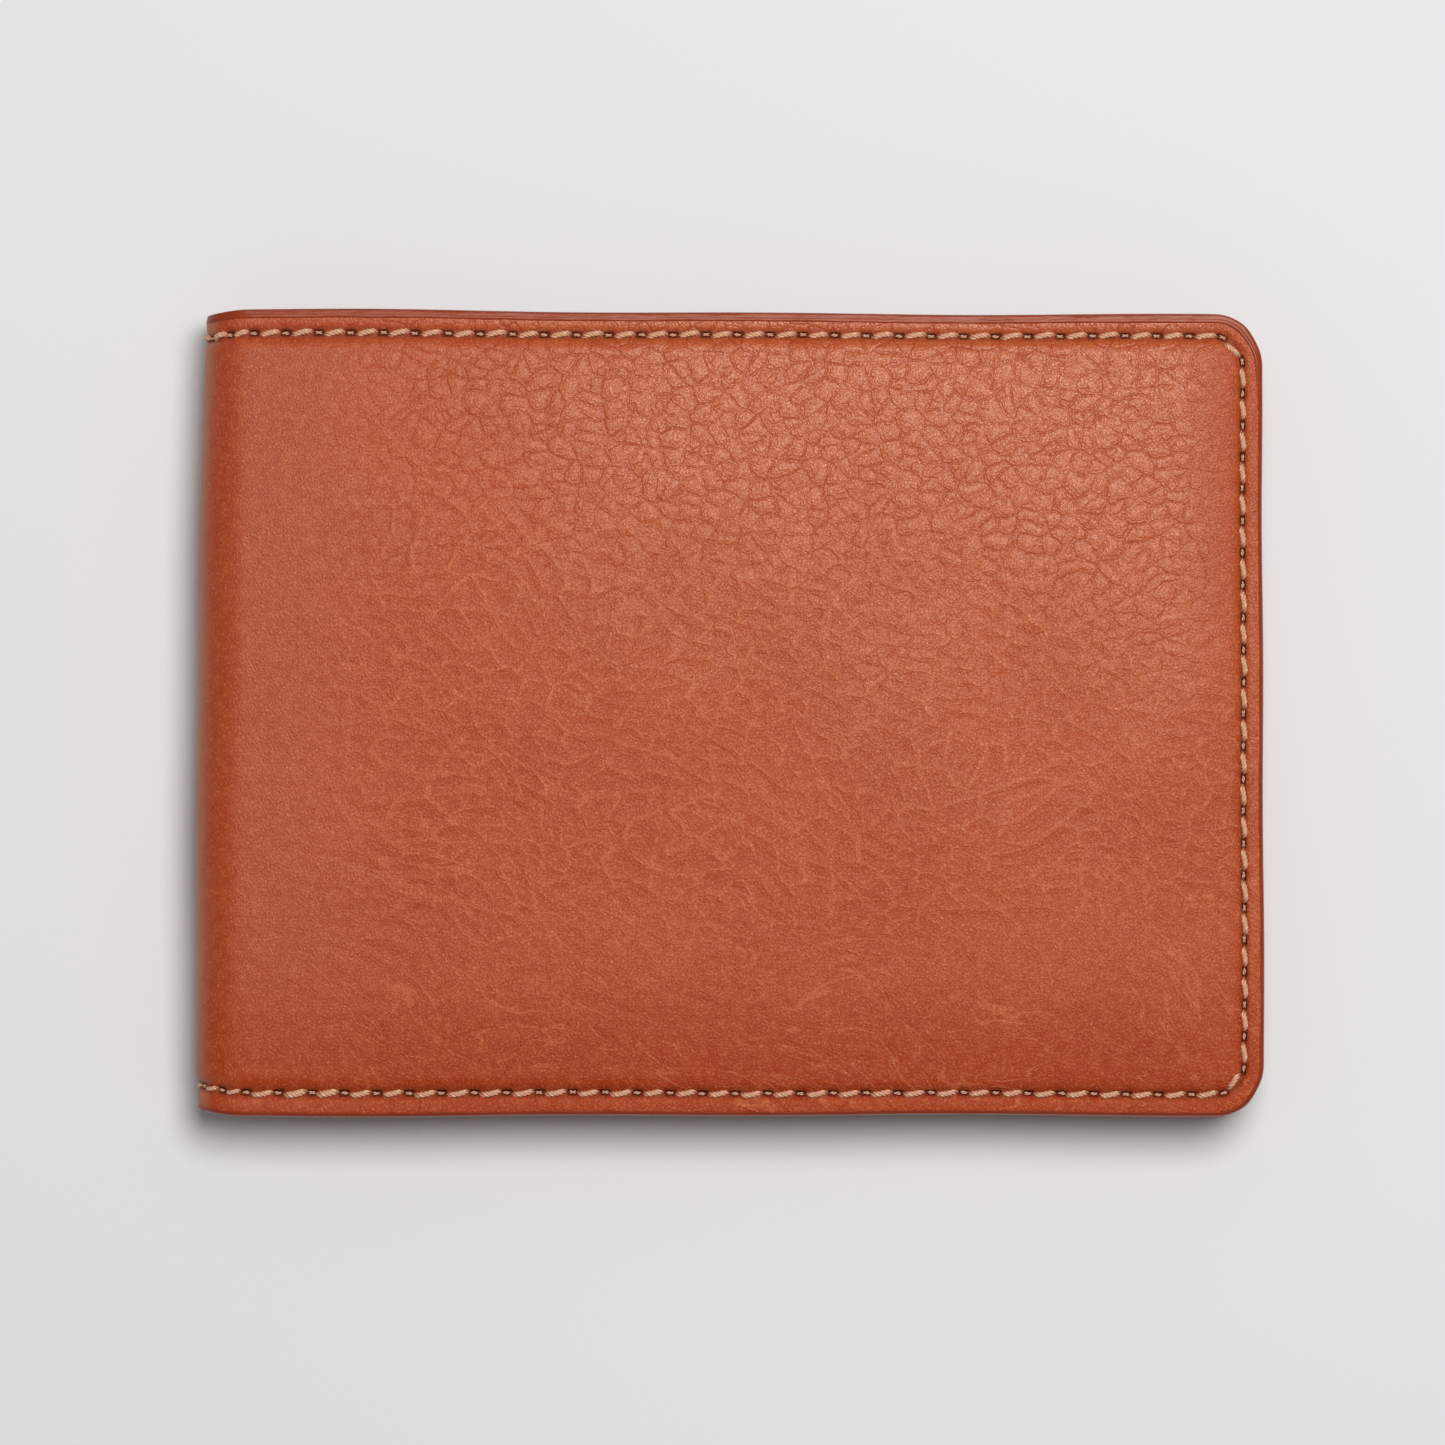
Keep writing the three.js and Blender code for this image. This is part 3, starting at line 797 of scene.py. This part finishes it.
def make_pad(half):
    """The foam under the leather, skived thin at its edge."""
    margin = SEAM_INSET + 0.9
    s, y = full_grid(1.5, margin, 0.7)
    near = cover_depth(s, y) + LEATHER + 0.02
    thickness = np.minimum(0.9, LINING_FACE - 0.08 - near) * ease((inset(s, y) - margin + 0.4) / 1.2)
    far = near + np.maximum(thickness, 0.06)
    piece = slab(f"cover_pad_{half}", half, s, y, near, far, MATERIALS["foam"])
    finish_piece(piece, half, "foam", f"{half}_cover_pad", "fold_pad", depths=SHELL_DEPTHS)
    return piece


def make_lining(half):
    s, y = full_grid(0.9, INNER_TRIM, 0.6)
    ripple = 0.05 * noise(s / 9, y / 12, 11) * ease((inset(s, y) - 3) / 6)
    near = LINING_FACE + ripple
    fabric = MATERIALS["lining_fabric"]
    piece = slab(f"cover_lining_{half}", half, s, y, near, near + LINING, fabric)
    depths = (LINING_FACE, LINING_FACE + LINING)
    finish_piece(piece, half, "lining_fabric", f"{half}_cover_lining", "fold_lining", depths=depths)
    return piece


# ---- The inside: note wall and card pockets ----


def rounded_lip(distance, thickness, radius=0.32):
    """Half thickness of a sheet whose cut edge is rounded over, at a distance from the edge."""
    t = np.clip(distance / radius, 0, 1)
    return thickness / 2 * np.sqrt(np.clip(1 - (1 - t) ** 2, 0.02, 1))


def pressed(s, y):
    """1 where the seam presses the plies together, 0 inside."""
    beside = np.minimum(S_FREE - s, y + half_height(s))
    return 1 - ease((beside - SEAM_INSET - 0.4) / 3.5)


def wall_depth(s, y):
    """Depth of the note wall's outer face, which stands off the lining inside the seam."""
    room = POCKET_FACE - WALL_FACE - WALL - 0.05
    return WALL_FACE + room * (1 - pressed(s, y)) * ease((s - S_PANEL) / 4)


def make_note_wall(half):
    s, y = full_grid(0.8, INNER_TRIM, 0.4, top=WALL_TOP)
    from_mouth = np.minimum(WALL_TOP, half_height(s, INNER_TRIM)) - y
    wave = 0.04 * noise(s / 11, y / 13, 21)
    middle = wall_depth(s, y) + WALL / 2 + wave * (1 - pressed(s, y))
    lip = rounded_lip(from_mouth, WALL)
    leather = MATERIALS["inner_leather"]
    piece = slab(f"note_wall_{half}", half, s, y, middle - lip, middle + lip, leather,
                 extra=[("mouth", vectors(from_mouth))])
    depths = (WALL_FACE + WALL, WALL_FACE + WALL)
    finish_piece(piece, half, "inner_leather", f"{half}_note_wall", "fold_note_wall", depths=depths)


def blurred(field, width):
    """A field on the drape's grid, smoothed over a width in cells."""
    reach = int(3 * width)
    weights = np.exp(-0.5 * (np.arange(-reach, reach + 1) / width) ** 2)
    weights /= weights.sum()
    for axis in (0, 1):
        spread = [(reach, reach) if a == axis else (0, 0) for a in (0, 1)]
        padded = np.pad(field, spread, mode="edge")
        cells = np.arange(field.shape[axis])
        field = sum(w * np.take(padded, cells + i, axis) for i, w in enumerate(weights))
    return field


class Drape:
    """The inner face of a half as its plies are laid one on another."""

    STEP = 0.5

    def __init__(self):
        self.s = np.arange(0, S_FREE + self.STEP, self.STEP)
        self.y = np.arange(BOTTOM, TOP + self.STEP, self.STEP)
        self.grid = np.meshgrid(self.s, self.y, indexing="ij")
        self.face = wall_depth(*self.grid) + WALL
        self.held = pressed(*self.grid)

    def lay(self, covers, thickness):
        """Lays a ply where covers(s, y) is true. Returns the depth of its underside."""
        covered = covers(*self.grid)
        soft = np.maximum(self.face, blurred(self.face, 1.6 / self.STEP))
        under = (self.face + 0.02) * self.held + (soft + 0.06) * (1 - self.held)
        self.face = np.where(covered, under + thickness, self.face)
        return under

    def sample(self, field, s, y):
        """A field on the drape's grid, read at any sheet points."""
        i = np.clip(s / self.STEP, 0, len(self.s) - 1.001)
        j = np.clip((y - BOTTOM) / self.STEP, 0, len(self.y) - 1.001)
        i0, j0 = i.astype(int), j.astype(int)
        fi, fj = i - i0, j - j0
        low = field[i0, j0] * (1 - fi) + field[i0 + 1, j0] * fi
        high = field[i0, j0 + 1] * (1 - fi) + field[i0 + 1, j0 + 1] * fi
        return low * (1 - fj) + high * fj


TEE_BAND = 17.0  # height of a T pocket's wide band
STEM_MARGIN = 5.0  # from the band's ends to the narrow stem


def make_pocket(half, pocket, drape, seed):
    """A card pocket, draped over what lies under it."""
    low, high = box_mm(f"back_card_pocket_{pocket}")
    left, right = POCKET_LEFT + X_TO_S, S_FREE - INNER_TRIM
    tee = pocket != "front"
    base = low[1] if tee else BOTTOM + INNER_TRIM
    mouth = high[1]
    stem = (left + STEM_MARGIN, S_FREE - STEM_MARGIN) if tee else (left, right)
    shoulder = mouth - TEE_BAND if tee else base

    def covers(s, y):
        in_band = (s >= left) & (s <= S_FREE) & (y >= shoulder) & (y <= mouth)
        in_stem = (s >= stem[0]) & (s <= stem[1]) & (y >= base) & (y <= mouth)
        return in_band | in_stem

    under = drape.lay(covers, POCKET_LEATHER)
    lines = grid_lines(left, right, 0.9, [(left, left + 1), (right - 6, right)], 0.35)
    rows = grid_lines(base, mouth, 0.8, [(mouth - 2.4, mouth)], 0.16)
    if tee:
        lines = np.sort(np.append(lines, stem))
        rows = np.sort(np.append(rows, shoulder))
    s, y = np.meshgrid(lines, rows, indexing="ij")
    if not tee:
        y = np.maximum(y, -half_height(s, INNER_TRIM) + 0.001 * (y - base))  # round the corner
    middle_s, middle_y = (s[1:, 1:] + s[:-1, :-1]) / 2, (y[1:, 1:] + y[:-1, :-1]) / 2
    keep = covers(middle_s, middle_y)
    from_mouth = mouth - y
    from_edge = np.minimum(from_mouth, s - left)
    lip = rounded_lip(from_edge, POCKET_LEATHER)
    middle = drape.sample(under, s, y) + POCKET_LEATHER / 2
    middle = middle + 0.05 * noise(s / 13, y / 9, seed) * (1 - pressed(s, y))
    groove = 0.1 * np.exp(-(((from_mouth - MOUTH_LINE) / 0.22) ** 2))
    piece = slab(f"card_pocket_{pocket}_{half}", half, s, y, middle - lip, middle + lip - groove,
                 MATERIALS["inner_leather"], keep, [("mouth", vectors(from_edge))])
    finish_piece(piece, half, "inner_leather", f"{half}_card_pocket_{pocket}")


# ---- Edge paint ----


def edge_stack(along):
    """Thickness of the plies at the painted edge. At the note compartment's mouth it has only two."""
    ramp = 1.5  # length over which a ply begins or ends
    down = along - SIDE_START
    plies = LEATHER + LINING + 0.02
    wall_start = CORNER_Y - WALL_TOP
    wall = (WALL + 0.05) * ease((down - wall_start) / ramp)
    pocket_start = CORNER_Y - box_mm("back_card_pocket_top")[1][1]
    pocket = (POCKET_LEATHER + 0.05) * ease((down - pocket_start) / ramp)
    left_end = SEAM_LENGTH - (POCKET_LEFT + X_TO_S)
    pocket = pocket * ease((left_end - along) / ramp)
    return plies + wall + pocket


def edge_mouth(along):
    """1 along the note compartment's soft mouth, 0 where the edge is sewn to the wall."""
    return 1 - ease((along - TOP_END) / (QUARTER + 6))


def edge_tilt(along):
    """How far the painted edge turns to face outwards."""
    return np.radians(6 + 34 * edge_mouth(along))


CUT = SEAM_INSET - BEAD  # from the stitches out to the cut leather


def edge_profile(along):
    """(distance outwards from the cut, depth) of points round the bead, from its lip on the flange."""
    tilt = edge_tilt(along)
    lip = 0.12 + 0.5 * edge_mouth(along) + 0.03 * noise(along / 2.6, 0, 33)
    face = cover_depth(*seam_point(along, CUT)) + 0.02
    profile = []
    for share, proud in ((1.0, -0.12), (0.95, 0.02), (0.75, 0.08), (0.4, 0.07)):
        over = -lip * share
        profile.append((over, cover_depth(*seam_point(along, CUT + over)) - proud))
    stack = edge_stack(along) + 0.03 * noise(along / 7, 0, 31)
    stack = stack + RAISE - face
    for turn in np.linspace(0, math.pi, 11):
        out = BEAD * np.sin(turn) ** 0.75
        deep = face - 0.04 + (stack + 0.08) * (1 - np.cos(turn)) / 2
        swing = out * np.sin(tilt) * (1 + np.cos(turn)) * 0.5
        drawn_in = 1 - 0.25 * np.sin(tilt) * (1 + np.cos(turn)) / 2
        profile.append((out * drawn_in, deep - swing * 0.6))
    profile.append((-lip * 0.6, face + stack + 0.05))
    return profile


def make_edge(half):
    """A domed bead of paint round the cut edges."""
    along = np.unique(np.concatenate([
        np.arange(0, SEAM_LENGTH, 0.8),
        np.linspace(TOP_END, SIDE_START, 16),
        np.linspace(SIDE_END, LOW_START, 16),
        np.linspace(0, S_PANEL, 24),
        SEAM_LENGTH - np.linspace(0, S_PANEL, 24),
    ]))
    rings = []
    for out, deep in edge_profile(along):
        s, y = seam_point(along, CUT + out)
        rings.append(place(half, s, y, np.broadcast_to(deep, s.shape)))
    rings = np.stack(rings, 1)
    count, size = rings.shape[:2]
    number = np.arange(count * size).reshape(count, size)
    nxt = np.roll(number, -1, axis=1)
    faces = np.stack([number[:-1], number[1:], nxt[1:], nxt[:-1]], -1).reshape(-1, 4)
    if half == "front":
        faces = faces[:, ::-1]
    faces = faces.tolist() + [number[0].tolist(), number[-1][::-1].tolist()]
    sheet = vectors(along[:, None], np.arange(size)[None] * 0.3)
    paint = MATERIALS["edge_paint"]
    piece = make_object(f"edge_paint_{half}", rings, faces, paint, [("sheet", sheet)])
    sharpen(piece, np.isin(sheet[..., 0].ravel(), (0, SEAM_LENGTH)))
    bend_with_fold(piece, half, SHELL_DEPTHS)
    return piece


# ---- Stitches ----


def unit(v):
    return v / np.maximum(np.linalg.norm(v, axis=-1, keepdims=True), 1e-9)


def rope(name, centres, normals, radius, plies, turns):
    """Twisted plies along each row of centres, an array (stitches, steps, 3).

    normals are those of the face that the thread lies on."""
    count, steps, _ = centres.shape
    sides = 7
    share = np.linspace(0, 1, steps)[None, :, None]
    tangent = unit(np.gradient(centres, axis=1))
    side = unit(np.cross(tangent, normals))
    up = np.cross(side, tangent)
    ply_radius = radius * 0.47
    vertices, places = [], []
    stitch = np.arange(count)[:, None, None]
    wander = 0.35 * (lattice(stitch, stitch * 0, 41) - 0.5)
    for ply in range(plies):
        turn = 2 * math.pi * (ply / plies + (turns + wander) * share + lattice(stitch, stitch * 0, 43))
        middle = centres + (radius - ply_radius) * (np.cos(turn) * side + 0.85 * np.sin(turn) * up)
        along = unit(np.gradient(middle, axis=1))
        across = unit(np.cross(along, up))
        over = np.cross(across, along)
        for k in range(sides):
            angle = 2 * math.pi * k / sides
            round_ply = math.cos(angle) * across + math.sin(angle) * over
            vertices.append(middle + ply_radius * round_ply)
            places.append(vectors(share[..., 0] * PITCH, k * 0.12, stitch[..., 0] * 7.3 + ply))
    vertices = np.stack(vertices, 2).reshape(count, steps, plies, sides, 3)
    places = np.stack(places, 2).reshape(count, steps, plies, sides, 3)
    number = np.arange(vertices.size // 3).reshape(count, steps, plies, sides)
    nxt = np.roll(number, -1, axis=3)
    walls = np.stack([number[:, :-1], nxt[:, :-1], nxt[:, 1:], number[:, 1:]], -1).reshape(-1, 4)
    first, last = number[:, 0].reshape(-1, sides)[:, ::-1], number[:, -1].reshape(-1, sides)
    faces = walls.tolist() + first.tolist() + last.tolist()
    return make_object(name, vertices, faces, MATERIALS["thread"], [("ply", places)])


def straight_stitch(along, shift):
    """Like seam_point, but straight from hole to hole."""
    pitch = SEAM_LENGTH / STITCHES
    start = np.floor(along / pitch) * pitch
    share = (along - start) / pitch
    s0, y0 = seam_point(start, shift)
    s1, y1 = seam_point(start + pitch, shift)
    return s0 + (s1 - s0) * share, y0 + (y1 - y0) * share


def outer_stitches(half):
    """The seam outside: each stitch lies along the valley and dives into a hole at each end."""
    stitch = np.arange(STITCHES)[:, None]
    t = np.linspace(0, 1, 15)[None]
    jitter = lattice(stitch, stitch * 0, 51) - 0.5
    along = (stitch + 0.5 + (t - 0.5) * (0.68 + 0.06 * jitter)) * SEAM_LENGTH / STITCHES
    arch = 1 - np.abs(2 * t - 1) ** 2.6
    slant = 0.30 * (t - 0.5)
    s, y = straight_stitch(along, slant + (0.10 + 0.1 * jitter) * arch - 0.05)
    rise = -0.5 + (0.74 + 0.08 * jitter) * arch
    centres = place(half, s, y, cover_depth(s, y) - rise)
    radius = OUTER_THREAD + back_tack(along)
    piece = rope(f"outer_stitches_{half}", centres, outward(half, s), radius, plies=3, turns=-1.9)
    make_locks(half)
    nodes = (f"{half}_outer_seam_thread", "fold_top_seam_thread", "fold_bottom_seam_thread")
    return finish_piece(piece, half, "thread", *nodes, depths=SHELL_DEPTHS)


def make_locks(half):
    """The bits of thread that show in the holes, where the inner thread pulls the outer one down."""
    hole = np.arange(1, STITCHES)[:, None]
    t = np.linspace(0, 1, 7)[None]
    jitter = lattice(hole, hole * 0, 53) - 0.5
    along = (hole + 0.06 * jitter + (t - 0.5) * 0.2) * SEAM_LENGTH / STITCHES
    s, y = seam_point(along, 0.06 * jitter)
    centres = place(half, s, y, cover_depth(s, y) + 0.1 - 0.16 * (1 - (2 * t - 1) ** 2))
    name = f"outer_stitch_locks_{half}"
    piece = rope(name, centres, outward(half, s), LOCK_THREAD, plies=2, turns=0.7)
    bend_with_fold(piece, half, SHELL_DEPTHS)


def back_tack(along):
    """Extra thread radius where the seam's end is sewn over twice, and less of it round the fold."""
    from_fold = SEAM_LENGTH - along
    sewn_twice = 0.08 * ((from_fold > 14.3) & (from_fold < 20.6))
    pulled_flat = 0.07 * (from_fold < 9.5)
    return (sewn_twice - pulled_flat)[..., None]


def inner_face(drape, s, y):
    """Depth of the innermost face of a half, where the seam's inside lies."""
    laid = drape.sample(drape.face, s, y)
    on_lining = y > WALL_TOP - 0.2
    return np.where(on_lining, LINING_FACE + LINING, laid)


def inner_rows(count):
    """(place along each stitch, place along the seam in stitches) for a seam seen from the inside."""
    t = np.linspace(0, 1, 11)[None]
    return t, np.arange(count)[:, None] + 0.5 + (t - 0.5) * 0.86


def inner_rope(name, half, drape, s, y, t):
    """Stitches on the innermost face, each sunk in at its ends."""
    rise = -0.3 + 0.46 * (1 - np.abs(2 * t - 1) ** 3)
    centres = place(half, s, y, inner_face(drape, s, y) + rise)
    return rope(name, centres, -outward(half, s), INNER_THREAD, plies=3, turns=1.7)


def inner_stitches(half, drape):
    """The same seam from the inside: on the lining at the mouth, elsewhere on the wall and pockets."""
    t, along = inner_rows(STITCHES)
    s, y = seam_point(along * SEAM_LENGTH / STITCHES, 0.05 * (t - 0.5))
    piece = inner_rope(f"inner_stitches_{half}", half, drape, s, y, t)
    nodes = (f"{half}_inner_seam_thread", f"{half}_top_seam_bobbin_thread", "fold_top_bobbin_thread")
    depths = (WALL_FACE + WALL, WALL_FACE + WALL)
    return finish_piece(piece, half, "thread", *nodes, depths=depths)


def pocket_stitches(half, drape):
    """The seam that closes the pockets beside the fold."""
    top = box_mm("back_pocket_seam_thread")[1][1]
    base = BOTTOM + 2 * SEAM_INSET
    count = round((top - base) / PITCH)
    t, along = inner_rows(count)
    y = top - along * (top - base) / count
    s = np.full_like(y, POCKET_LEFT + X_TO_S + SEAM_INSET) + 0.1 * (t - 0.5)
    piece = inner_rope(f"pocket_stitches_{half}", half, drape, s, y, t)
    return finish_piece(piece, half, "thread", f"{half}_pocket_seam_thread")


for half in HALVES:
    make_cover(half)
    make_pad(half)
    make_lining(half)
    make_note_wall(half)
    drape = Drape()
    for order, pocket in enumerate(("top", "middle", "front")):
        make_pocket(half, pocket, drape, seed=60 + order)
    make_edge(half)
    outer_stitches(half)
    inner_stitches(half, drape)
    pocket_stitches(half, drape)

# ---- Stage, light and camera ----


def make_floor():
    size = 2.5  # metres from the middle to a side
    mesh = bpy.data.meshes.new("floor")
    corners = [(-size, -size, 0), (size, -size, 0), (size, size, 0), (-size, size, 0)]
    mesh.from_pydata(corners, [], [(0, 1, 2, 3)])
    material, _, shader = new_material("floor", Roughness=0.6, Specular_IOR_Level=0.25)
    shader.inputs["Base Color"].default_value = (0.80, 0.80, 0.80, 1)
    mesh.materials.append(material)
    add_to_scene("floor", mesh)


def add_area_light(name, position, size, power):
    """A round soft light that faces the wallet, in metres and watts."""
    data = bpy.data.lights.new(name, "AREA")
    data.shape = "DISK"
    data.size = size
    data.energy = power
    light = add_to_scene(name, data)
    light.location = position
    light.rotation_euler = (-light.location).to_track_quat("-Z", "Y").to_euler()


def make_lights():
    add_area_light("key", (0.13, 0.20, 0.83), 0.40, 6.15)
    world = bpy.data.worlds.new("studio")
    bpy.context.scene.world = world
    world.use_nodes = True
    background = world.node_tree.nodes["Background"]
    background.inputs["Color"].default_value = (1, 1, 1, 1)
    background.inputs["Strength"].default_value = 0.2


def make_camera():
    """Straight above the wallet, with a long lens."""
    data = bpy.data.cameras.new("camera")
    data.lens = 200
    data.sensor_width = 36
    frame_width = 0.1491  # what the picture shows at the height of the top cover
    height = THICKNESS * MM + frame_width * data.lens / data.sensor_width
    camera = add_to_scene("camera", data)
    camera.location = (-0.0008, -0.0010, height)
    bpy.context.scene.camera = camera


make_floor()
make_lights()
make_camera()
bpy.context.scene.view_settings.view_transform = "Standard"
